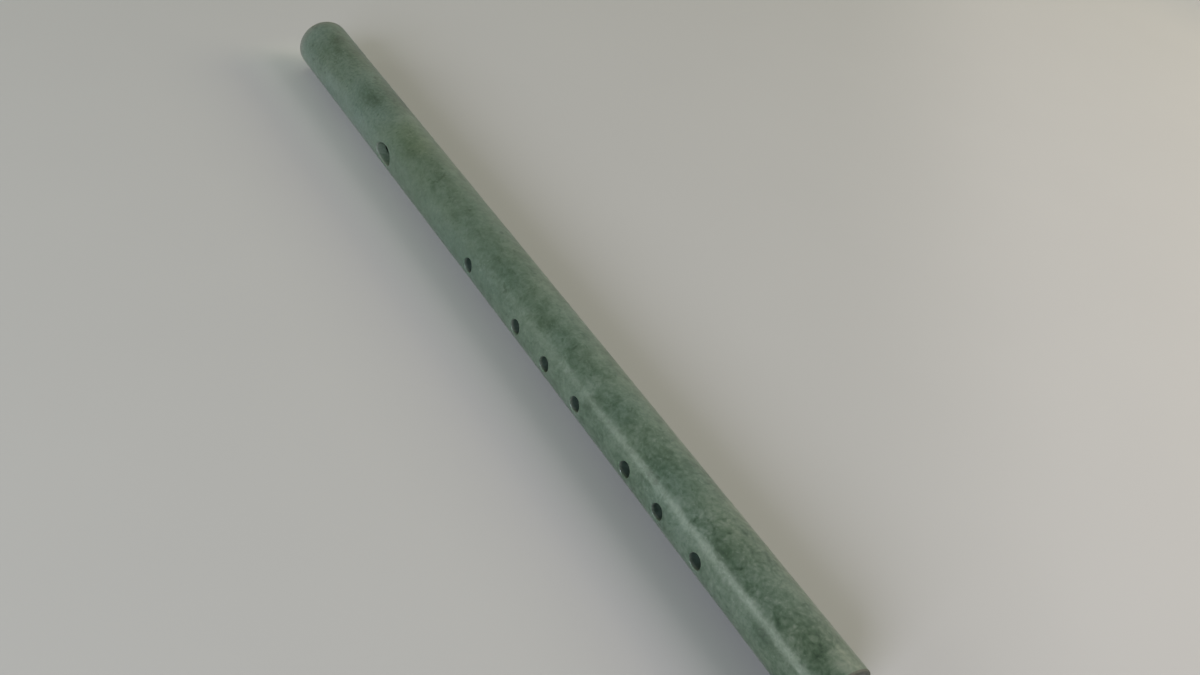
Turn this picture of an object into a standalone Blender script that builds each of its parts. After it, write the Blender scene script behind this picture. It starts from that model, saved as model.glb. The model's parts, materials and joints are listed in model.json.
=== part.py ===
"""Transverse flute turned from one piece of green stone, with its cork stopper.

Frame: +X runs from the head end to the foot end, the holes face -Y, +Z is up.
Origin: the middle of the flute's length, on the surface that the flute lies on.
Units: metres.
"""
import math

import bmesh
import bpy

# The tube
HEAD_LENGTH = 0.0977            # head end to the middle of the blow hole
SOUNDING_LENGTH = 0.3049        # middle of the blow hole to the foot end
OUTER_DIAMETER = 0.0250
BORE_DIAMETER = 0.0150
HEAD_RIM_RADIUS = 0.0030        # rounding of the head end's outer rim
FOOT_RIM_RADIUS = 0.0008        # rounding of the foot end's outer rim
BORE_MOUTH_CHAMFER = 0.0004     # broken edge where the bore opens at both ends
LEAST_END_LAND = 0.0005         # flat ring that the rim roundings always leave on an end

# The blow hole, an oval with a rounded lip and an undercut wall
BLOW_HOLE_LENGTH = 0.0134       # along the tube, at the wall below the lip
BLOW_HOLE_WIDTH = 0.0082        # round the tube, at the wall below the lip
BLOW_LIP_RADIUS = 0.0011
BLOW_UNDERCUT = 0.0004          # how far the wall leans back by the time it meets the bore

# The round holes, with their middles measured from the middle of the blow hole
ROUND_HOLE_DIAMETER = 0.0061
ROUND_LIP_RADIUS = 0.0005
MEMBRANE_HOLE_AT = 0.0819
FINGER_HOLES_AT = (0.1214, 0.1437, 0.1662, 0.2003, 0.2209, 0.2436)

# The stopper, which slides in the bore on the head's side of the blow hole
STOPPER_LENGTH = 0.0200
STOPPER_CLEARANCE = 0.0003      # between the stopper and the bore's wall
STOPPER_TO_BLOW_HOLE = 0.0135   # stopper's inner face to the middle of the blow hole
STOPPER_EDGE_RADIUS = 0.0008

CUTTER_CLEAR = 0.0010           # how far a hole's tool stands out of the tube

# How finely round things are divided
TUBE_SIDES = 64                 # a multiple of four, so that flats face down and to the holes
STOPPER_SIDES = 40
HOLE_SIDES = 32
RIM_STEPS = 4
LIP_STEPS = 4
SHARP_ANGLE = math.radians(32)

# Worked out from the sizes above
LENGTH = HEAD_LENGTH + SOUNDING_LENGTH
OUTER_RADIUS = OUTER_DIAMETER / 2
BORE_RADIUS = BORE_DIAMETER / 2
WALL = OUTER_RADIUS - BORE_RADIUS
HEAD_END_X = -LENGTH / 2
FOOT_END_X = LENGTH / 2
BLOW_HOLE_X = HEAD_END_X + HEAD_LENGTH
AXIS_HEIGHT = OUTER_RADIUS


def clear_objects():
    for old in list(bpy.data.objects):
        bpy.data.objects.remove(old, do_unlink=True)


def make_material(name, colour, roughness, metallic=0.0):
    material = bpy.data.materials.new(name)
    material.use_nodes = True
    shader = material.node_tree.nodes["Principled BSDF"]
    shader.inputs["Base Color"].default_value = (*colour, 1.0)
    shader.inputs["Roughness"].default_value = roughness
    shader.inputs["Metallic"].default_value = metallic
    material.diffuse_color = (*colour, 1.0)
    return material


def add_object(name, bm, material, parent):
    """Turn a finished bmesh into an object that hangs on its parent."""
    bmesh.ops.recalc_face_normals(bm, faces=bm.faces)
    mesh = bpy.data.meshes.new(name)
    bm.to_mesh(mesh)
    bm.free()
    if material:
        mesh.materials.append(material)
    mesh.shade_smooth()
    mesh.set_sharp_from_angle(angle=SHARP_ANGLE)
    thing = bpy.data.objects.new(name, mesh)
    bpy.context.collection.objects.link(thing)
    thing.parent = parent
    return thing


def add_empty(name, location, parent=None):
    empty = bpy.data.objects.new(name, None)
    empty.empty_display_size = OUTER_RADIUS
    empty.location = location
    empty.parent = parent
    bpy.context.collection.objects.link(empty)
    return empty


def quarter_round(x_middle, r_middle, radius, start, steps):
    """Points of a quarter circle in the profile plane, from the angle start up to start + 90."""
    points = []
    for step in range(steps + 1):
        angle = start + math.pi / 2 * step / steps
        points.append((x_middle + radius * math.cos(angle), r_middle + radius * math.sin(angle)))
    return points


def turn(profile, sides, closed):
    """Turn a profile of (x, radius) points round the X axis, with a flat side facing down.

    A closed profile makes a ring-shaped body. An open one is filled with a flat disc at
    each end. Radii are measured to the middle of the flats.
    """
    bm = bmesh.new()
    half_side = math.pi / sides
    corner = 1 / math.cos(half_side)
    points = [
        bm.verts.new((x, r * corner * math.sin(half_side), r * corner * math.cos(half_side)))
        for x, r in profile
    ]
    pairs = list(zip(points, points[1:]))
    if closed:
        pairs.append((points[-1], points[0]))
    edges = [bm.edges.new(pair) for pair in pairs]
    bmesh.ops.spin(
        bm, geom=points + edges, cent=(0, 0, 0), axis=(1, 0, 0),
        angle=2 * math.pi, steps=sides, use_merge=True,
    )
    if not closed:
        ends = [edge for edge in bm.edges if edge.is_boundary]
        bmesh.ops.holes_fill(bm, edges=ends, sides=sides)
    return bm


def tube_profile():
    """The tube's wall cut along its length: outer side, foot end, bore, head end."""
    rim_room = WALL - BORE_MOUTH_CHAMFER - LEAST_END_LAND
    head_rim = min(HEAD_RIM_RADIUS, rim_room)
    foot_rim = min(FOOT_RIM_RADIUS, rim_room)
    mouth = BORE_RADIUS + BORE_MOUTH_CHAMFER
    foot_arc = quarter_round(FOOT_END_X - foot_rim, OUTER_RADIUS - foot_rim, foot_rim, 0, RIM_STEPS)
    head_arc = quarter_round(
        HEAD_END_X + head_rim, OUTER_RADIUS - head_rim, head_rim, math.pi / 2, RIM_STEPS
    )
    return [
        (FOOT_END_X - BORE_MOUTH_CHAMFER, BORE_RADIUS),
        (FOOT_END_X, mouth),
        *foot_arc,
        *head_arc,
        (HEAD_END_X, mouth),
        (HEAD_END_X + BORE_MOUTH_CHAMFER, BORE_RADIUS),
    ]


def outer_wall_y(z):
    """How far out the tube's outer side lies, at a height z above its axis."""
    return -math.sqrt(OUTER_RADIUS ** 2 - z ** 2)


def hole_rings(half_length, half_width, lip, undercut):
    """Rings of the tool that cuts a hole, from above the tube's surface down into the bore.

    The upper rings follow the curve of the outer side, so the lip is equally round all the
    way about the hole. The lower rings lean outwards to undercut the wall.
    """
    lip_steps = []
    for step in range(LIP_STEPS + 1):
        angle = math.pi / 2 * step / LIP_STEPS
        lip_steps.append((lip * (1 - math.sin(angle)), lip * (1 - math.cos(angle))))
    past_edge = 2 * lip_steps[0][0] - lip_steps[1][0]
    lip_steps.insert(0, (past_edge, -lip_steps[1][1]))

    turns = [2 * math.pi * side / HOLE_SIDES for side in range(HOLE_SIDES)]

    def flat_ring(wider, y):
        return [
            ((half_length + wider) * math.cos(angle), y, (half_width + wider) * math.sin(angle))
            for angle in turns
        ]

    # The tool's flat top stands clear of the tube
    rings = [flat_ring(past_edge, -OUTER_RADIUS - CUTTER_CLEAR)]
    for wider, depth in lip_steps:
        rings.append([
            (x, outer_wall_y(z) + depth, z) for x, _, z in flat_ring(wider, 0)
        ])
    # The wall below the lip: its waist, its widest at the bore, and the tool's flat end
    rings.append(flat_ring(0.0, -BORE_RADIUS - WALL / 2))
    rings.append(flat_ring(undercut, -BORE_RADIUS * 0.72))
    rings.append(flat_ring(undercut, -BORE_RADIUS * 0.50))
    return rings


def add_hole(tube, name, x, length, width, lip, undercut=0.0):
    """Cut one hole through the tube's wall with a tool lofted through its rings."""
    bm = bmesh.new()
    rings = [
        [bm.verts.new(point) for point in ring]
        for ring in hole_rings(length / 2, width / 2, lip, undercut)
    ]
    for upper, lower in zip(rings, rings[1:]):
        for side in range(HOLE_SIDES):
            after = (side + 1) % HOLE_SIDES
            bm.faces.new((upper[side], upper[after], lower[after], lower[side]))
    bm.faces.new(rings[0])
    bm.faces.new(rings[-1])

    cutter = add_object(name + "_cutter", bm, None, tube.parent)
    cutter.location = (x, 0, 0)
    cutter.display_type = "WIRE"
    cutter.hide_render = True

    cut = tube.modifiers.new(name, "BOOLEAN")
    cut.operation = "DIFFERENCE"
    cut.solver = "EXACT"
    cut.object = cutter


def make_tube(parent, material):
    tube = add_object("flute_tube", turn(tube_profile(), TUBE_SIDES, closed=True), material, parent)
    add_hole(
        tube, "blow_hole", BLOW_HOLE_X,
        BLOW_HOLE_LENGTH, BLOW_HOLE_WIDTH, BLOW_LIP_RADIUS, BLOW_UNDERCUT,
    )
    round_holes = {"membrane_hole": MEMBRANE_HOLE_AT}
    for number, distance in enumerate(FINGER_HOLES_AT, start=1):
        round_holes[f"finger_hole_{number}"] = distance
    for name, distance in round_holes.items():
        add_hole(
            tube, name, BLOW_HOLE_X + distance,
            ROUND_HOLE_DIAMETER, ROUND_HOLE_DIAMETER, ROUND_LIP_RADIUS,
        )
    return tube


def make_stopper(parent, material):
    """The cork, modelled from its inner face at its own origin towards the head."""
    radius = BORE_RADIUS - STOPPER_CLEARANCE
    edge = min(STOPPER_EDGE_RADIUS, STOPPER_LENGTH / 2, radius)
    inner_arc = quarter_round(-edge, radius - edge, edge, 0, RIM_STEPS)
    outer_arc = quarter_round(-STOPPER_LENGTH + edge, radius - edge, edge, math.pi / 2, RIM_STEPS)
    bm = turn(inner_arc + outer_arc, STOPPER_SIDES, closed=False)
    return add_object("bore_stopper", bm, material, parent)


def build():
    clear_objects()
    jade = make_material("green_stone", (0.105, 0.155, 0.110), roughness=0.30)
    cork = make_material("cork", (0.420, 0.255, 0.130), roughness=0.85)

    bore_axis = add_empty("bore_axis", (0, 0, AXIS_HEIGHT))
    stopper_slide = add_empty(
        "stopper_slide", (BLOW_HOLE_X - STOPPER_TO_BLOW_HOLE, 0, 0), bore_axis
    )
    make_tube(bore_axis, jade)
    make_stopper(stopper_slide, cork)


build()
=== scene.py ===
"""Looks of the stone flute: its polished tube, its cork stopper, the table, the lamps and the camera."""
import json
import math

import bmesh
import bpy
from mathutils import Matrix, Vector, noise


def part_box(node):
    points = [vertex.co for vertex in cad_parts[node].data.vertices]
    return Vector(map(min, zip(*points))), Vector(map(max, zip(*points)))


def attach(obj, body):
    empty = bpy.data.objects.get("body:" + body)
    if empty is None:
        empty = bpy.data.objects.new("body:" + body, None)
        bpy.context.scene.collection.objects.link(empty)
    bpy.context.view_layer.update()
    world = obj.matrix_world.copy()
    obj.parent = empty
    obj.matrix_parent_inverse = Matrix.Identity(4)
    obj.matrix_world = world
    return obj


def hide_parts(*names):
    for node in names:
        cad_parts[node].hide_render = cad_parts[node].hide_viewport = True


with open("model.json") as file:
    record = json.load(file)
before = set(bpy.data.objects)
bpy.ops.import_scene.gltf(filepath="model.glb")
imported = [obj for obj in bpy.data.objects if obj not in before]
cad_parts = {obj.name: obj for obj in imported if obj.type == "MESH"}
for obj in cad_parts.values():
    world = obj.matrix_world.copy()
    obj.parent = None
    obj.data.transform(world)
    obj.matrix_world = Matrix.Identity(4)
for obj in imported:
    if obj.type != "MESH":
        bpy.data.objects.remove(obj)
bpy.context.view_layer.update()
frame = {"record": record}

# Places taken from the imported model, in metres
TUBE_LOW, TUBE_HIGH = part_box("flute_tube")
STOPPER_LOW, STOPPER_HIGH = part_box("bore_stopper")
HEAD_X = TUBE_LOW.x
FOOT_X = TUBE_HIGH.x
TUBE_RADIUS = (TUBE_HIGH.z - TUBE_LOW.z) / 2
AXIS_Z = (TUBE_HIGH.z + TUBE_LOW.z) / 2
OPENINGS = {opening["name"]: opening["box_m"] for opening in frame["record"]["physics"]["openings"]}
BLOW_HOLE_X = (OPENINGS["blow_hole"][0][0] + OPENINGS["blow_hole"][1][0]) / 2

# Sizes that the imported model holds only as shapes
BORE_RADIUS = 0.0075
HEAD_RIM_RADIUS = 0.0030
FOOT_RIM_RADIUS = 0.0008
MOUTH_ROUNDING = 0.0004
BLOW_HOLE = {"length": 0.0134, "width": 0.0082, "lip": 0.0011, "undercut": 0.0004}
ROUND_HOLE = {"length": 0.0061, "width": 0.0061, "lip": 0.0005, "undercut": 0.0}
BORE_EDGE_ROUNDING = 0.00025

# How finely the tube's mesh is divided
TUBE_SIDES = 144
STATION_STEP = 0.0022
PATCH_SIDES = 36                # sides of the tube that a hole's patch spans
PATCH_MARGIN = 0.0032           # from a hole's edge to the ends of its patch
PATCH_STATION = 0.0008
PATCH_RINGS = 7
LIP_RINGS = 7
WALL_RINGS = 5
EDGE_RINGS = 3
RIM_STEPS = 10
LAND_STEPS = 3                  # across the flat ring on each end
MOUTH_STEPS = 4

# Waves left by hand grinding
WAVE_LENGTH = 0.009
WAVE_WIDTH = 0.007
WAVE_DEPTH = 0.00010
WAVES_FROM_RADIUS = 0.0100
WAVES_FADE = 0.0015

# The cork stopper's mesh and its pits
CORK_SIDES = 72
CORK_EDGE = 0.0008
CORK_EDGE_STEPS = 4
CORK_STATIONS = 40
CORK_FACE_RINGS = (0.12, 0.3, 0.5, 0.7, 0.85, 1.0)
CORK_PIT_SIZE = 0.0016
CORK_PIT_FROM = 0.20
CORK_PIT_DEPTH = 0.0006

# The stone's pattern: how large its lumps are, and how far they are swirled about, in metres
FLOW_SIZE = 0.014
FLOW_REACH = 0.0024
CURL_SIZE = 0.0040
CURL_REACH = 0.0009
CLOUD_SIZE = 0.020
MOTTLE_SIZE = 0.0048
GRAIN_SIZE = 0.0013
SPOT_SIZE = 0.0040
CELL_SIZE = 0.0020              # rounded grains of the mosaic
CELL_BEND_SIZE = 0.0022
CELL_BEND_REACH = 0.0006
PLAIN_SIZE = 0.011              # places where the mosaic is faint
SPECK_SPACING = 0.0019
SPECK_DRIFT_SIZE = 0.008
PALE_VEIN_SIZE = 0.0090
DARK_VEIN_SIZE = 0.0075
HUE_SIZE = 0.030
RELIEF_SIZE = 0.0040
RELIEF_DEPTH = 0.00017

# How strongly clouds, mottles and grain show, by the share of the way from the head to the foot
STONE_STRENGTHS = (
    (0.190, (0.36, 0.22, 0.44)),
    (0.276, (0.08, 0.38, 0.22)),
    (0.425, (0.08, 0.38, 0.22)),
    (0.500, (0.20, 0.52, 0.34)),
    (0.624, (0.20, 0.52, 0.34)),
    (0.674, (0.30, 0.60, 0.36)),
    (0.773, (0.30, 0.56, 0.38)),
    (0.800, (0.22, 0.50, 0.40)),
)

# Paler and darker places: x, angle from -Y towards +Z, half length, half width, weight
STONE_AND_PAINTED_LIGHT_PATCHES = (
    (0.0640, 56, 0.0070, 0.0050, 0.11),
    (0.0540, 95, 0.0070, 0.0060, 0.09),
    (0.1970, 106, 0.0100, 0.0100, 0.16),
    (-0.1650, 58, 0.0120, 0.0050, 0.06),
    (-0.1810, 84, 0.0070, 0.0050, -0.10),
    (-0.1740, 70, 0.0050, 0.0035, -0.10),
    (-0.1350, 62, 0.0160, 0.0060, -0.08),
    # Painted shade: darker strips along the head's far side, dimming the lamps' grazing reflection there
    (-0.1550, 112, 0.0600, 0.0080, -0.08),
    (-0.1550, 130, 0.0600, 0.0080, -0.08),
    # Painted light: a paler strip along the head on the side of the holes
    (-0.1550, -10, 0.0700, 0.0120, 0.09),
    (-0.1930, 60, 0.0070, 0.0090, 0.09),
    (0.0290, 102, 0.0110, 0.0080, 0.09),
    (0.1540, 50, 0.0160, 0.0045, -0.12),
    (0.1760, 17, 0.0180, 0.0035, -0.10),
    (0.1950, 88, 0.0090, 0.0050, 0.10),
    (0.1920, 66, 0.0080, 0.0050, -0.06),
)

# The stone's colour by its lightness, in linear colour like all colours here
STONE_COLOURS = (
    (0.206, (0.023, 0.047, 0.027)),
    (0.386, (0.052, 0.091, 0.056)),
    (0.536, (0.094, 0.141, 0.098)),
    (0.686, (0.136, 0.184, 0.138)),
    (0.846, (0.188, 0.230, 0.180)),
)

# Inside the holes, as depths below the tube's outside, and near the ends, as distances from them
DRILLED_WALL = (0.00015, 0.0007)        # where it starts and where it is full
# Deeper than this, the walls and the bore carry painted light and shade instead of the paler colour
BORE_COLOUR = (0.0004, 0.0019)
BORE_FROM_END = (0.0028, 0.0048)
# Painted light near the blow hole, fading to painted shade further along the bore
LIT_BORE = (0.010, 0.020)               # from the middle of the blow hole
HEAD_PALER_END = (0.0068, 0.0023)
FOOT_GRIND_AND_SHADE = (0.0012, 0.0007)

# The cork's pattern
CORK_BEND_SIZE = 0.004
CORK_BEND_REACH = 0.0010
CORK_LUMP_SIZE = 0.0024
CORK_GRAIN_SIZE = 0.0006
CORK_PORE_SIZE = 0.0030
CORK_RELIEF_DEPTH = 0.00025

# The table, and the pale background seen beyond its near part
TABLE_SIZE = 8.0
TABLE_COLOURS = ((0.488, 0.480, 0.466), (0.506, 0.498, 0.482))
TABLE_CLOUD_SIZE = 0.09
TABLE_FADE = (0.68, 0.95)               # distances from the origin
TO_THE_RIGHT = (0.689, 0.725, 0.0)      # the way to the right-hand side of the photograph
BACKGROUND = (0.42, 0.42, 0.40)

# The lamps: name, place, what it points at, width, height, and its face's colour, where 1 is white.
# These colours and the room's come from a least-squares fit to the photograph's brightness, rounded.
LAMPS = (
    ("window", (-0.216, -1.037, 0.30), (-0.216, 0.0, 0.0125), 0.83, 0.44, (2.46, 2.68, 2.50)),
    ("cool_lamp", (1.24, -2.00, 0.98), (0.0, 0.0, 0.0), 1.32, 0.92, (11.4, 11.6, 13.8)),
    ("soft_lamp", (0.48, 0.75, 0.90), (0.05, 0.05, 0.0), 0.60, 0.66, (2.95, 2.61, 2.75)),
    ("warm_lamp", (0.42, 1.60, 0.80), (0.1, 0.2, 0.0), 1.00, 0.60, (5.60, 5.05, 3.51)),
)

# The room's glow: the way it comes from, the cosines where it starts and is full, and its colour
ROOM_GLOWS = (
    ((0.0, 0.574, 0.819), 0.50, 0.85, (0.239, 0.299, 0.253)),
    ((0.0, 1.0, 0.0), 0.0, 1.0, (0.338, 0.363, 0.389)),
    ((-1.0, 0.0, 0.0), 0.0, 1.0, (0.414, 0.388, 0.265)),
)

# The camera. The vanishing point of the tube's two sides in the 1200 by 675 photograph sets the
# way it looks. Its lens is a choice, because one vanishing point doesn't fix the focal length.
CAMERA_AT = (0.2998, -0.2353, 0.3084)
CAMERA_AIM = (0.03360, 0.01778, 0.01250)
CAMERA_ROLL = math.radians(17.171)
CAMERA_LENS = 36.0
CAMERA_SENSOR = 36.0


def make_camera():
    camera = bpy.data.objects.new("camera", bpy.data.cameras.new("camera"))
    bpy.context.scene.collection.objects.link(camera)
    camera.data.lens = CAMERA_LENS
    camera.data.sensor_width = CAMERA_SENSOR
    camera.data.clip_start = 0.01
    camera.data.clip_end = 50.0
    look = Vector(CAMERA_AIM) - Vector(CAMERA_AT)
    turn = look.to_track_quat("-Z", "Y").to_matrix() @ Matrix.Rotation(CAMERA_ROLL, 3, "Z")
    camera.matrix_world = Matrix.Translation(CAMERA_AT) @ turn.to_4x4()
    bpy.context.scene.camera = camera


def around(x, angle, radius):
    """The point at a place along the tube, an angle from -Y towards +Z, and a radius."""
    return Vector((x, -radius * math.cos(angle), AXIS_Z + radius * math.sin(angle)))


class HoleShape:
    """One hole: where it is, its oval, and the stations that its patch covers."""

    def __init__(self, name, sizes):
        low, high = OPENINGS[name]
        self.x = (low[0] + high[0]) / 2
        self.half_length = sizes["length"] / 2
        self.half_width = sizes["width"] / 2
        self.lip = sizes["lip"]
        self.undercut = sizes["undercut"]
        reach = self.half_length + self.lip + PATCH_MARGIN
        cells = 2 * math.ceil(reach / PATCH_STATION / 2)
        self.stations = [self.x - reach + 2 * reach * i / cells for i in range(cells + 1)]

    def oval(self, wider, turns):
        """Points (x, z above the axis) of the oval, grown by wider, at the given turns."""
        points = []
        for turn in turns:
            points.append((
                self.x + (self.half_length + wider) * math.cos(turn),
                (self.half_width + wider) * math.sin(turn),
            ))
        return points


def tube_stations(holes):
    """Places along the straight part of the tube where its mesh has a ring of points."""
    def between(low, high):
        count = max(1, round((high - low) / STATION_STEP))
        return [low + (high - low) * i / count for i in range(count)]

    stations = []
    reached = HEAD_X + HEAD_RIM_RADIUS
    for hole in holes:
        stations += between(reached, hole.stations[0]) + hole.stations[:-1]
        reached = hole.stations[-1]
    end = FOOT_X - FOOT_RIM_RADIUS
    return stations + between(reached, end) + [end]


def end_profile(end_x, outwards, rim_radius):
    """Profile (x, radius) over one end of the tube, from its outer side to the bore.

    outwards is 1 for the foot end and -1 for the head end.
    """
    def quarter(x_middle, r_middle, radius, start, steps):
        points = []
        for step in range(1, steps + 1):
            angle = start - math.pi / 2 * step / steps
            points.append((
                x_middle + outwards * radius * math.cos(angle), r_middle + radius * math.sin(angle)
            ))
        return points

    mouth = BORE_RADIUS + MOUTH_ROUNDING
    land = TUBE_RADIUS - rim_radius - mouth
    profile = quarter(
        end_x - outwards * rim_radius, TUBE_RADIUS - rim_radius, rim_radius, math.pi / 2, RIM_STEPS
    )
    profile += [(end_x, mouth + land * i / LAND_STEPS) for i in reversed(range(LAND_STEPS))]
    profile += quarter(end_x - outwards * MOUTH_ROUNDING, mouth, MOUTH_ROUNDING, 0, MOUTH_STEPS)
    return profile


def make_tube_mesh(holes):
    """The bored tube as one closed mesh of four-sided faces, with each hole lofted through its wall."""
    bm = bmesh.new()
    stations = tube_stations(holes)
    sides = TUBE_SIDES
    angles = [2 * math.pi * side / sides for side in range(sides)]

    def ring(x, radius):
        return [bm.verts.new(around(x, angle, radius)) for angle in angles]

    def join(first, second):
        count = len(first)
        for i in range(count):
            after = (i + 1) % count
            bm.faces.new((first[i], first[after], second[after], second[i]))

    outer = [ring(x, TUBE_RADIUS) for x in stations]
    inner = [ring(x, BORE_RADIUS) for x in stations]
    spans = {}
    for hole in holes:
        first = min(range(len(stations)), key=lambda i: abs(stations[i] - hole.stations[0]))
        spans[hole] = (first, first + len(hole.stations) - 1)

    reach = PATCH_SIDES // 2
    for column in range(len(stations) - 1):
        in_patch = any(first <= column < last for first, last in spans.values())
        for side in range(sides):
            if in_patch and (side < reach or side >= sides - reach):
                continue
            after = (side + 1) % sides
            for grid in (outer, inner):
                bm.faces.new((
                    grid[column][side], grid[column][after],
                    grid[column + 1][after], grid[column + 1][side],
                ))

    for hole in holes:
        first, last = spans[hole]
        loft_hole(bm, hole, outer, inner, first, last, reach, join)

    for grid_end, profile in (
        (-1, end_profile(FOOT_X, 1, FOOT_RIM_RADIUS)),
        (0, end_profile(HEAD_X, -1, HEAD_RIM_RADIUS)),
    ):
        row = outer[grid_end]
        # The profile's last point lies on the bore, where the inner grid takes over
        for x, radius in profile[:-1]:
            new_row = ring(x, radius)
            join(row, new_row)
            row = new_row
        join(row, inner[grid_end])
    add_waves(bm)
    return bm


def add_waves(bm):
    """The outside of hand-ground stone: waves cut inwards, up to WAVE_DEPTH deep."""
    for vert in bm.verts:
        out = Vector((0, vert.co.y, vert.co.z - AXIS_Z))
        share = min(1.0, max(0.0, (out.length - WAVES_FROM_RADIUS) / WAVES_FADE))
        spot = Vector((vert.co.x / WAVE_LENGTH, out.y / WAVE_WIDTH, out.z / WAVE_WIDTH))
        depth = WAVE_DEPTH * (0.5 + 0.5 * noise.noise(spot)) * share
        vert.co -= out.normalized() * depth


def loft_hole(bm, hole, outer, inner, first, last, reach, join):
    """Fill a hole's patch: rings from the patch's edge to the lip, down the wall, out along the bore."""
    def edge_of_patch(grid):
        sides = range(-reach, reach + 1)
        loop = [grid[last][side] for side in sides]
        loop += [grid[column][reach] for column in range(last - 1, first - 1, -1)]
        loop += [grid[first][side] for side in reversed(sides[:-1])]
        loop += [grid[column][-reach] for column in range(first + 1, last)]
        return loop

    outer_edge = edge_of_patch(outer)
    inner_edge = edge_of_patch(inner)
    flat = []
    for vert in outer_edge:
        angle = math.atan2(vert.co.z - AXIS_Z, -vert.co.y)
        flat.append((vert.co.x, angle))
    turns = [math.atan2(angle * TUBE_RADIUS, x - hole.x) for x, angle in flat]

    def ring_on(radius, oval_points, share):
        """A ring on a round surface, at a share of the way from the oval to the patch's edge."""
        row = []
        for (edge_x, edge_angle), (x, z) in zip(flat, oval_points):
            angle = math.asin(z / radius)
            row.append(bm.verts.new(around(
                x + (edge_x - x) * share, angle + (edge_angle - angle) * share, radius
            )))
        return row

    def ring_at(oval_points, height_of):
        return [
            bm.verts.new((x, height_of(z), AXIS_Z + z))
            for x, z in oval_points
        ]

    row = outer_edge
    for step in range(PATCH_RINGS - 1, -1, -1):
        share = (step / PATCH_RINGS) ** 1.4
        new_row = ring_on(TUBE_RADIUS, hole.oval(hole.lip, turns), share)
        join(row, new_row)
        row = new_row

    def outer_y(z):
        return -math.sqrt(TUBE_RADIUS ** 2 - z ** 2)

    def bore_y(z):
        return -math.sqrt(BORE_RADIUS ** 2 - z ** 2)

    for step in range(1, LIP_RINGS + 1):
        angle = math.pi / 2 * step / LIP_RINGS
        wider = hole.lip * (1 - math.sin(angle))
        depth = hole.lip * (1 - math.cos(angle))
        new_row = ring_at(hole.oval(wider, turns), lambda z: outer_y(z) + depth)
        join(row, new_row)
        row = new_row

    for step in range(1, WALL_RINGS + 1):
        share = step / WALL_RINGS
        wider = hole.undercut * share ** 2

        def wall_y(z):
            top = outer_y(z) + hole.lip
            bottom = bore_y(z) - BORE_EDGE_ROUNDING
            return top + (bottom - top) * share

        new_row = ring_at(hole.oval(wider, turns), wall_y)
        join(row, new_row)
        row = new_row

    for step in range(EDGE_RINGS - 1, -1, -1):
        angle = math.pi / 2 * step / EDGE_RINGS
        wider = hole.undercut + BORE_EDGE_ROUNDING * (1 - math.sin(angle))
        height = BORE_EDGE_ROUNDING * (1 - math.cos(angle))
        new_row = ring_at(hole.oval(wider, turns), lambda z: bore_y(z) - height)
        join(row, new_row)
        row = new_row

    oval_points = hole.oval(hole.undercut + BORE_EDGE_ROUNDING, turns)
    for step in range(1, PATCH_RINGS):
        share = (step / PATCH_RINGS) ** 1.4
        new_row = ring_on(BORE_RADIUS, oval_points, share)
        join(row, new_row)
        row = new_row
    join(row, inner_edge)


def add_piece(name, bm, material):
    bmesh.ops.recalc_face_normals(bm, faces=bm.faces)
    mesh = bpy.data.meshes.new(name)
    bm.to_mesh(mesh)
    bm.free()
    mesh.materials.append(material)
    mesh.shade_smooth()
    piece = bpy.data.objects.new(name, mesh)
    bpy.context.scene.collection.objects.link(piece)
    return piece


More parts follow.
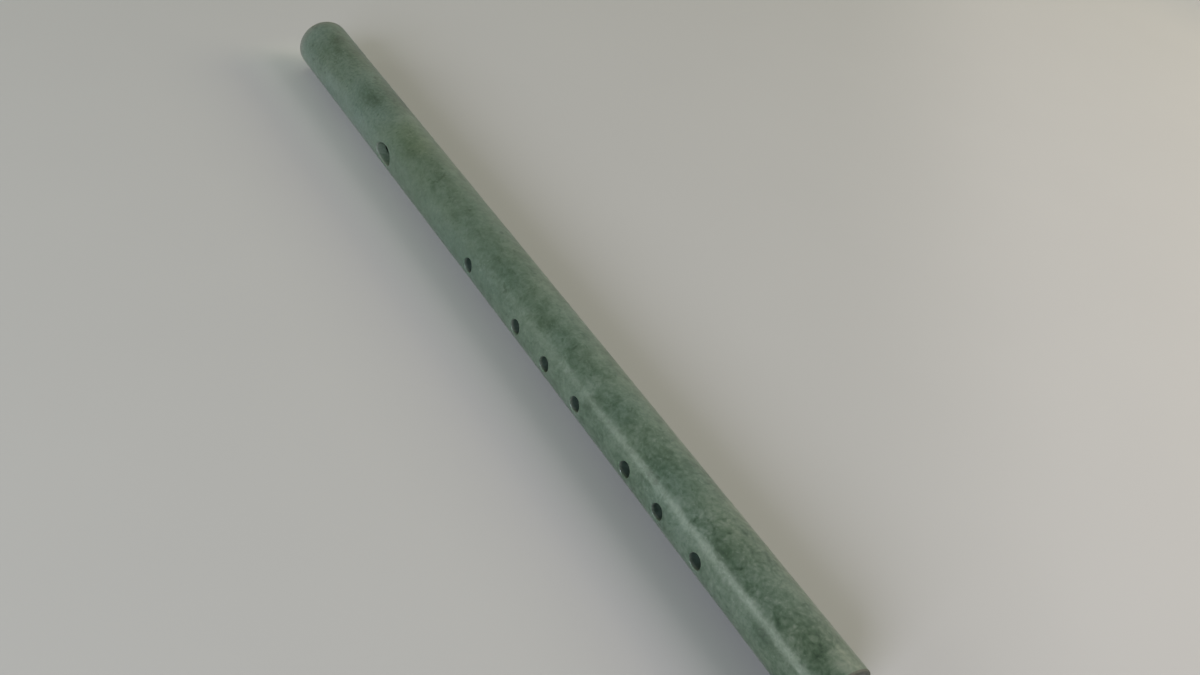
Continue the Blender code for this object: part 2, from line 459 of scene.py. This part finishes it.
class Nodes:
    """Adds shader nodes to a tree. An input given as a socket is linked, and a plain one is set."""

    def __init__(self, tree):
        self.tree = tree

    def add(self, kind, inputs, output=0, **settings):
        node = self.tree.nodes.new("ShaderNode" + kind)
        for name, value in settings.items():
            setattr(node, name, value)
        for key, value in inputs.items():
            socket = node.inputs[key]
            if isinstance(value, bpy.types.NodeSocket):
                self.tree.links.new(value, socket)
            else:
                socket.default_value = value
        return node.outputs[output]

    def math(self, operation, first, second):
        return self.add("Math", {0: first, 1: second}, operation=operation)

    def noise(self, place, size, detail=2.0, roughness=0.5, output="Fac"):
        """Soft noise whose lumps are about size metres across, spread round 0.5."""
        inputs = {"Vector": place, "Scale": 1 / size, "Detail": detail, "Roughness": roughness}
        return self.add("TexNoise", inputs, output)

    def shift(self, place, size, reach, detail=2.0):
        """A place moved about by a swirling noise, up to about reach metres."""
        swirl = self.noise(place, size, detail, output="Color")
        centred = self.add("VectorMath", {0: swirl, 1: (0.5, 0.5, 0.5)}, operation="SUBTRACT")
        reaches = (2 * reach, 2 * reach, 2 * reach)
        return self.add("VectorMath", {0: centred, 1: reaches, 2: place}, operation="MULTIPLY_ADD")

    def ramp(self, value, low, high, at_low=0.0, at_high=1.0):
        """A smooth step from at_low to at_high as the value goes from low to high."""
        inputs = {"Value": value, "From Min": low, "From Max": high, "To Min": at_low, "To Max": at_high}
        return self.add("MapRange", inputs, interpolation_type="SMOOTHSTEP")

    def sum(self, *terms):
        """The sum of (value, weight) pairs, each value taken from its middle of 0.5."""
        total = 0.5
        for value, weight in terms:
            total = self.plus(total, self.math("SUBTRACT", value, 0.5), weight)
        return total

    def part(self, vector, name):
        return self.add("SeparateXYZ", {"Vector": vector}, name)

    def apart(self, value, middle):
        """How far a value is from a middle, either way."""
        return self.math("ABSOLUTE", self.math("SUBTRACT", value, middle), 0.0)

    def length(self, vector):
        return self.add("VectorMath", {0: vector}, "Value", operation="LENGTH")

    def dot(self, vector, way):
        return self.add("VectorMath", {0: vector, 1: way}, "Value", operation="DOT_PRODUCT")

    def plus(self, total, amount, weight):
        """A total with a weighted amount added."""
        return self.add("Math", {0: amount, 1: weight, 2: total}, operation="MULTIPLY_ADD")

    def mix(self, share, first, second):
        """A colour between two others, by a share given as a socket."""
        node = self.tree.nodes.new("ShaderNodeMix")
        node.data_type = "RGBA"
        named = {socket.identifier: socket for socket in node.inputs}
        self.tree.links.new(share, named["Factor_Float"])
        for key, colour in (("A_Color", first), ("B_Color", second)):
            if isinstance(colour, bpy.types.NodeSocket):
                self.tree.links.new(colour, named[key])
            else:
                named[key].default_value = (*colour, 1.0)
        return [socket for socket in node.outputs if socket.identifier == "Result_Color"][0]

    def tint(self, colour, share, full, none=(1.0, 1.0, 1.0)):
        """A colour multiplied by a tint that goes from none to full with the share."""
        return self.add("VectorMath", {0: colour, 1: self.mix(share, none, full)}, operation="MULTIPLY")

    def colours(self, value, stops):
        """A colour that goes through stops of (value, colour)."""
        node = self.tree.nodes.new("ShaderNodeValToRGB")
        elements = node.color_ramp.elements
        while len(elements) < len(stops):
            elements.new(0.5)
        for element, (position, colour) in zip(elements, stops):
            element.position = position
            element.color = (*colour, 1.0)
        self.tree.links.new(value, node.inputs["Fac"])
        return node.outputs["Color"]


def new_material(name):
    """A material, its shader, its nodes, and the place on the piece in metres."""
    material = bpy.data.materials.new(name)
    material.use_nodes = True
    nodes = Nodes(material.node_tree)
    shader = material.node_tree.nodes["Principled BSDF"]
    place = nodes.add("TexCoord", {}, "Object")
    return material, shader, nodes, place


def stone_patch(nodes, place, x, angle, length, width):
    """A soft-edged patch on the tube, from 0 outside it to 1 at its middle."""
    middle = around(x, math.radians(angle), TUBE_RADIUS)
    offset = nodes.add("VectorMath", {0: place, 1: middle}, operation="SUBTRACT")
    scale = (1 / length, 1 / width, 1 / width)
    scaled = nodes.add("VectorMath", {0: offset, 1: scale}, operation="MULTIPLY")
    return nodes.ramp(nodes.length(scaled), 1.0, 0.25)


def stone_lightness(nodes, flow, curl, grain):
    """The stone's lightness, round 0.5: clouds, mottles, grains, specks, veins and patches.

    A few patches at the head are painted light and shade, not the stone's own.
    """
    along = nodes.part(flow, "X")
    foot_half = nodes.ramp(along, 0.055, 0.125)
    share = nodes.plus(0.5, along, 1 / (FOOT_X - HEAD_X))
    strengths = nodes.colours(share, STONE_STRENGTHS)
    cloud_weight, mottle_weight, grain_weight = (
        nodes.add("SeparateColor", {"Color": strengths}, part) for part in ("Red", "Green", "Blue")
    )
    # The stone is plainer in a strip along the row of holes
    plainer = nodes.ramp(nodes.part(flow, "Y"), -0.0080, -0.0112, 1.0, 0.65)
    mottle_weight = nodes.math("MULTIPLY", mottle_weight, plainer)

    clouds = nodes.noise(flow, CLOUD_SIZE, detail=1.0)
    mottle = nodes.noise(curl, MOTTLE_SIZE, detail=3.0, roughness=0.6)
    spots = nodes.ramp(nodes.noise(curl, SPOT_SIZE), 0.36, 0.28)
    lightness = nodes.sum((clouds, cloud_weight), (mottle, mottle_weight), (grain, grain_weight))
    lightness = nodes.plus(lightness, spots, -0.13)
    lightness = nodes.plus(lightness, foot_half, 0.046)
    lightness = nodes.plus(lightness, nodes.ramp(along, 0.160, 0.175), -0.028)

    # Rounded grains with darker green between them, faint at the head and plain in places at the foot
    crooked = nodes.shift(curl, CELL_BEND_SIZE, CELL_BEND_REACH)
    inputs = {"Vector": crooked, "Scale": 1 / CELL_SIZE, "Smoothness": 0.25}
    cells = nodes.add("TexVoronoi", inputs, "Distance", feature="SMOOTH_F1")
    mosaic = nodes.ramp(nodes.noise(flow, PLAIN_SIZE), 0.36, 0.62, 0.12, 0.31)
    mosaic = nodes.math("MULTIPLY", mosaic, nodes.ramp(foot_half, 0.0, 1.0, 0.25, 1.0))
    mosaic = nodes.math("MULTIPLY", mosaic, plainer)
    lightness = nodes.plus(lightness, nodes.math("SUBTRACT", 0.42, cells), mosaic)

    # Small pale grains, in drifts
    inputs = {"Vector": curl, "Scale": 1 / SPECK_SPACING, "Randomness": 1.0}
    specks = nodes.ramp(nodes.add("TexVoronoi", inputs, "Distance"), 0.20, 0.09)
    drifts = nodes.ramp(nodes.noise(flow, SPECK_DRIFT_SIZE, detail=1.0), 0.44, 0.62)
    lightness = nodes.plus(lightness, nodes.math("MULTIPLY", specks, drifts), 0.13)

    # Thin curved veins, some pale and some dark
    pale_vein = nodes.apart(nodes.noise(curl, PALE_VEIN_SIZE), 0.5)
    dark_vein = nodes.apart(nodes.noise(curl, DARK_VEIN_SIZE, detail=1.0, roughness=0.4), 0.52)
    lightness = nodes.plus(lightness, nodes.ramp(pale_vein, 0.018, 0.0), 0.035)
    lightness = nodes.plus(lightness, nodes.ramp(dark_vein, 0.014, 0.0), -0.045)

    # Patches of the stone, and at the head a few of painted light and shade
    for *patch, weight in STONE_AND_PAINTED_LIGHT_PATCHES:
        lightness = nodes.plus(lightness, stone_patch(nodes, curl, *patch), weight)
    return lightness


def tint_stone(nodes, colour, place, flow):
    """The stone's drift of hue, with a warmer foot, an olive place and a bluer head."""
    along = nodes.part(flow, "X")
    drift = nodes.ramp(nodes.noise(place, HUE_SIZE, detail=1.0), 0.35, 0.65)
    colour = nodes.tint(colour, drift, (1.02, 1.0, 0.97), (0.98, 1.0, 1.02))
    colour = nodes.tint(colour, nodes.ramp(along, 0.115, 0.150), (1.06, 1.0, 0.965))
    olive = stone_patch(nodes, flow, -0.096, 76, 0.0200, 0.0100)
    colour = nodes.tint(colour, olive, (1.03, 1.0, 0.88))
    return nodes.tint(colour, nodes.ramp(along, -0.100, -0.125), (0.99, 1.0, 1.07))


def paint_inside_light_and_shade(nodes, colour, place):
    """The colour with painted light and shade inside, and how far a place is inside, from 0 to 1.

    Drilled walls are paler, partly as unpolished stone and partly as painted light. Deeper in,
    the walls and the bore have painted light near the blow hole and painted shade away from it.
    """
    at_x = nodes.part(place, "X")
    offset = nodes.add("VectorMath", {0: place, 1: (0, 0, AXIS_Z)}, operation="SUBTRACT")
    radius = nodes.length(nodes.add("VectorMath", {0: offset, 1: (0, 1, 1)}, operation="MULTIPLY"))

    # Painted light in the bore near the blow hole, and painted shade away from it
    away = nodes.ramp(nodes.apart(at_x, BLOW_HOLE_X), *LIT_BORE)
    bore_painted_light_and_shade = nodes.mix(away, (1.75, 1.65, 1.65), (0.40, 0.46, 0.46))
    # Near the outside the drilled walls are paler: partly unpolished stone, partly painted light
    shallow = nodes.ramp(radius, TUBE_RADIUS - BORE_COLOUR[1], TUBE_RADIUS - BORE_COLOUR[0])
    inside_paleness_and_painted_light = nodes.mix(shallow, bore_painted_light_and_shade, (1.45, 1.18, 1.27))

    deep = nodes.ramp(radius, TUBE_RADIUS - DRILLED_WALL[0], TUBE_RADIUS - DRILLED_WALL[1])
    from_ends = nodes.ramp(nodes.apart(at_x, 0.0), FOOT_X - BORE_FROM_END[0], FOOT_X - BORE_FROM_END[1])
    inside = nodes.math("MULTIPLY", deep, from_ends)
    return nodes.tint(colour, inside, inside_paleness_and_painted_light), inside


def stone_material():
    """Polished green stone: clouds and mottles in warped layers, and a mosaic of grains at the foot."""
    material, shader, nodes, place = new_material("polished_green_stone")
    link = material.node_tree.links.new
    flow = nodes.shift(place, FLOW_SIZE, FLOW_REACH)
    curl = nodes.shift(flow, CURL_SIZE, CURL_REACH, detail=1.0)
    along = nodes.part(flow, "X")
    grain = nodes.noise(curl, GRAIN_SIZE, roughness=0.6)

    colour = nodes.colours(stone_lightness(nodes, flow, curl, grain), STONE_COLOURS)
    colour = tint_stone(nodes, colour, place, flow)
    # Painted light and shade inside the holes and the bore
    colour, inside = paint_inside_light_and_shade(nodes, colour, place)

    # The head's end is paler and greyer. The foot's end is ground, and its darker brown is painted shade
    head_end = nodes.ramp(along, HEAD_X + HEAD_PALER_END[0], HEAD_X + HEAD_PALER_END[1])
    foot_end = nodes.ramp(nodes.part(place, "X"), FOOT_X - FOOT_GRIND_AND_SHADE[0], FOOT_X - FOOT_GRIND_AND_SHADE[1])
    # The head's end is made paler and greyer
    colour = nodes.tint(colour, head_end, (1.52, 1.16, 1.25))
    # Painted shade: the foot's end face is darkened and browned
    colour = nodes.tint(colour, foot_end, (0.60, 0.46, 0.49))
    link(colour, shader.inputs["Base Color"])

    roughness = nodes.ramp(along, 0.035, 0.085, 0.30, 0.262)
    roughness = nodes.math("ADD", roughness, nodes.ramp(foot_end, 0.0, 1.0, 0.0, 0.35))
    roughness = nodes.math("ADD", roughness, nodes.ramp(inside, 0.0, 1.0, 0.0, 0.30))
    link(nodes.plus(roughness, grain, 0.06), shader.inputs["Roughness"])
    shader.inputs["IOR"].default_value = 1.6
    shader.inputs["Subsurface Weight"].default_value = 0.35
    shader.inputs["Subsurface Radius"].default_value = (0.7, 1.0, 0.75)
    shader.inputs["Subsurface Scale"].default_value = 0.0020

    relief = nodes.sum((nodes.noise(place, RELIEF_SIZE, detail=1.0), 1.0), (grain, 0.18))
    bump = {"Height": relief, "Strength": 1.0, "Distance": RELIEF_DEPTH}
    link(nodes.add("Bump", bump, "Normal"), shader.inputs["Normal"])
    return material


def cork_material():
    """Natural cork: warm brown lumps with dark pores."""
    material, shader, nodes, place = new_material("natural_cork")
    link = material.node_tree.links.new
    moved = nodes.shift(place, CORK_BEND_SIZE, CORK_BEND_REACH)
    lumps = nodes.noise(moved, CORK_LUMP_SIZE, detail=3.0, roughness=0.6)
    grain = nodes.noise(place, CORK_GRAIN_SIZE)
    pores = nodes.noise(moved, CORK_PORE_SIZE, roughness=0.7)
    lightness = nodes.sum((lumps, 1.1), (grain, 0.5))
    colour = nodes.colours(lightness, [
        (0.25, (0.150, 0.075, 0.034)),
        (0.48, (0.360, 0.210, 0.102)),
        (0.75, (0.540, 0.350, 0.190)),
    ])
    pore = nodes.ramp(pores, 0.40, 0.33)
    colour = nodes.mix(pore, colour, (0.075, 0.036, 0.018))
    link(colour, shader.inputs["Base Color"])
    shader.inputs["Roughness"].default_value = 0.85
    height = nodes.sum((lumps, 0.6), (grain, 0.5), (pore, -0.5))
    bump = {"Height": height, "Distance": CORK_RELIEF_DEPTH}
    link(nodes.add("Bump", bump, "Normal"), shader.inputs["Normal"])
    return material


def table_material():
    """A pale matt table. Far from the flute, the camera sees it glow as the background does."""
    material, shader, nodes, place = new_material("pale_table")
    link = material.node_tree.links.new
    colour = nodes.mix(nodes.noise(place, TABLE_CLOUD_SIZE), *TABLE_COLOURS)
    # Painted, not lit: the table is paler towards the right-hand side of the photograph
    right = nodes.ramp(nodes.dot(place, TO_THE_RIGHT), 0.12, 0.26)
    colour = nodes.tint(colour, right, (1.15, 1.14, 1.15))

    # Painted, not lit: beside the holes the lamps leave the shadow too dark at the head and too
    # pale at the foot, so the table is tinted paler at the head and darker at the foot
    at_x = nodes.part(place, "X")
    at_y = nodes.part(place, "Y")
    near = nodes.math("MULTIPLY", nodes.ramp(at_y, -0.046, -0.016), nodes.ramp(at_y, 0.004, -0.004))
    near = nodes.math("MULTIPLY", near, nodes.ramp(nodes.apart(at_x, 0.0), 0.235, 0.200))
    shadow = nodes.mix(nodes.ramp(at_x, -0.22, 0.20), (1.17, 1.20, 1.165), (0.855, 0.885, 0.875))
    link(nodes.tint(colour, near, shadow), shader.inputs["Base Color"])
    shader.inputs["Roughness"].default_value = 0.80
    shader.inputs["Specular IOR Level"].default_value = 0.20

    background = nodes.add("Emission", {"Color": (*BACKGROUND, 1.0)})
    far = nodes.ramp(nodes.length(place), *TABLE_FADE)
    seen = nodes.add("LightPath", {}, "Is Camera Ray")
    share = nodes.math("MULTIPLY", far, seen)
    surface = nodes.add("MixShader", {0: share, 1: shader.outputs["BSDF"], 2: background})
    link(surface, material.node_tree.nodes["Material Output"].inputs["Surface"])
    return material


def make_tube():
    names = ["blow_hole", "membrane_hole"] + [f"finger_hole_{n}" for n in range(1, 7)]
    holes = [HoleShape(name, BLOW_HOLE if name == "blow_hole" else ROUND_HOLE) for name in names]
    tube = add_piece("polished_tube", make_tube_mesh(holes), stone_material())
    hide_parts("flute_tube")
    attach(tube, "tube")


def make_stopper():
    """The cork, a short rod with rounded ends whose skin and faces have shallow pits."""
    radius = (STOPPER_HIGH.z - STOPPER_LOW.z) / 2
    middle_z = (STOPPER_HIGH.z + STOPPER_LOW.z) / 2
    low_x = STOPPER_LOW.x
    high_x = STOPPER_HIGH.x
    profile = [(low_x, radius_share * (radius - CORK_EDGE)) for radius_share in CORK_FACE_RINGS]
    for step in range(1, CORK_EDGE_STEPS + 1):
        angle = math.pi / 2 * step / CORK_EDGE_STEPS
        profile.append((
            low_x + CORK_EDGE * (1 - math.cos(angle)), radius - CORK_EDGE * (1 - math.sin(angle))
        ))
    straight = high_x - low_x - 2 * CORK_EDGE
    for step in range(1, CORK_STATIONS):
        profile.append((low_x + CORK_EDGE + straight * step / CORK_STATIONS, radius))
    low_end = profile[:len(CORK_FACE_RINGS) + CORK_EDGE_STEPS]
    profile += [(low_x + high_x - x, ring_radius) for x, ring_radius in reversed(low_end)]

    bm = bmesh.new()
    rings = []
    for x, ring_radius in profile:
        ring = []
        for side in range(CORK_SIDES):
            angle = 2 * math.pi * side / CORK_SIDES
            spot = Vector((x, ring_radius * math.cos(angle), ring_radius * math.sin(angle)))
            pit = max(0.0, noise.noise(spot / CORK_PIT_SIZE) - CORK_PIT_FROM) * CORK_PIT_DEPTH
            inward = Vector((low_x + high_x - 2 * x, -2 * spot.y, -2 * spot.z)).normalized()
            ring.append(bm.verts.new(spot + inward * pit + Vector((0, 0, middle_z))))
        rings.append(ring)
    for first, second in zip(rings, rings[1:]):
        for side in range(CORK_SIDES):
            after = (side + 1) % CORK_SIDES
            bm.faces.new((first[side], first[after], second[after], second[side]))
    bm.faces.new(rings[0])
    bm.faces.new(rings[-1])
    cork = add_piece("cork_stopper", bm, cork_material())
    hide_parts("bore_stopper")
    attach(cork, "stopper")


def make_table():
    bpy.ops.mesh.primitive_plane_add(size=TABLE_SIZE, location=(0, 0, 0))
    table = bpy.context.object
    table.name = "table"
    table.data.materials.append(table_material())


def area_light(name, at, aim, width, height, glow):
    """A rectangular lamp whose face glows in a linear colour, where 1 is white."""
    light = bpy.data.lights.new(name, "AREA")
    light.shape = "RECTANGLE"
    light.size = width
    light.size_y = height
    brightest = max(glow)
    light.energy = brightest * math.pi * width * height
    light.color = [part / brightest for part in glow]
    lamp = bpy.data.objects.new(name, light)
    bpy.context.scene.collection.objects.link(lamp)
    lamp.location = at
    lamp.rotation_euler = (Vector(aim) - Vector(at)).to_track_quat("-Z", "Y").to_euler()
    lamp.visible_camera = False


def light_scene():
    """A window on the side of the holes, soft lamps on both sides, and the glow of the room."""
    for lamp in LAMPS:
        area_light(*lamp)

    world = bpy.data.worlds.new("room")
    world.use_nodes = True
    nodes = Nodes(world.node_tree)
    direction = nodes.add("TexCoord", {}, "Generated")
    room = (0.0, 0.0, 0.0)
    for way, low, high, glow in ROOM_GLOWS:
        share = nodes.ramp(nodes.dot(direction, way), low, high)
        room = nodes.add("VectorMath", {0: share, 1: glow, 2: room}, operation="MULTIPLY_ADD")
    seen = nodes.add("LightPath", {}, "Is Camera Ray")
    background = world.node_tree.nodes["Background"]
    world.node_tree.links.new(nodes.mix(seen, room, BACKGROUND), background.inputs["Color"])
    bpy.context.scene.world = world


make_camera()
make_tube()
make_stopper()
make_table()
light_scene()
bpy.context.scene.view_settings.view_transform = "Standard"
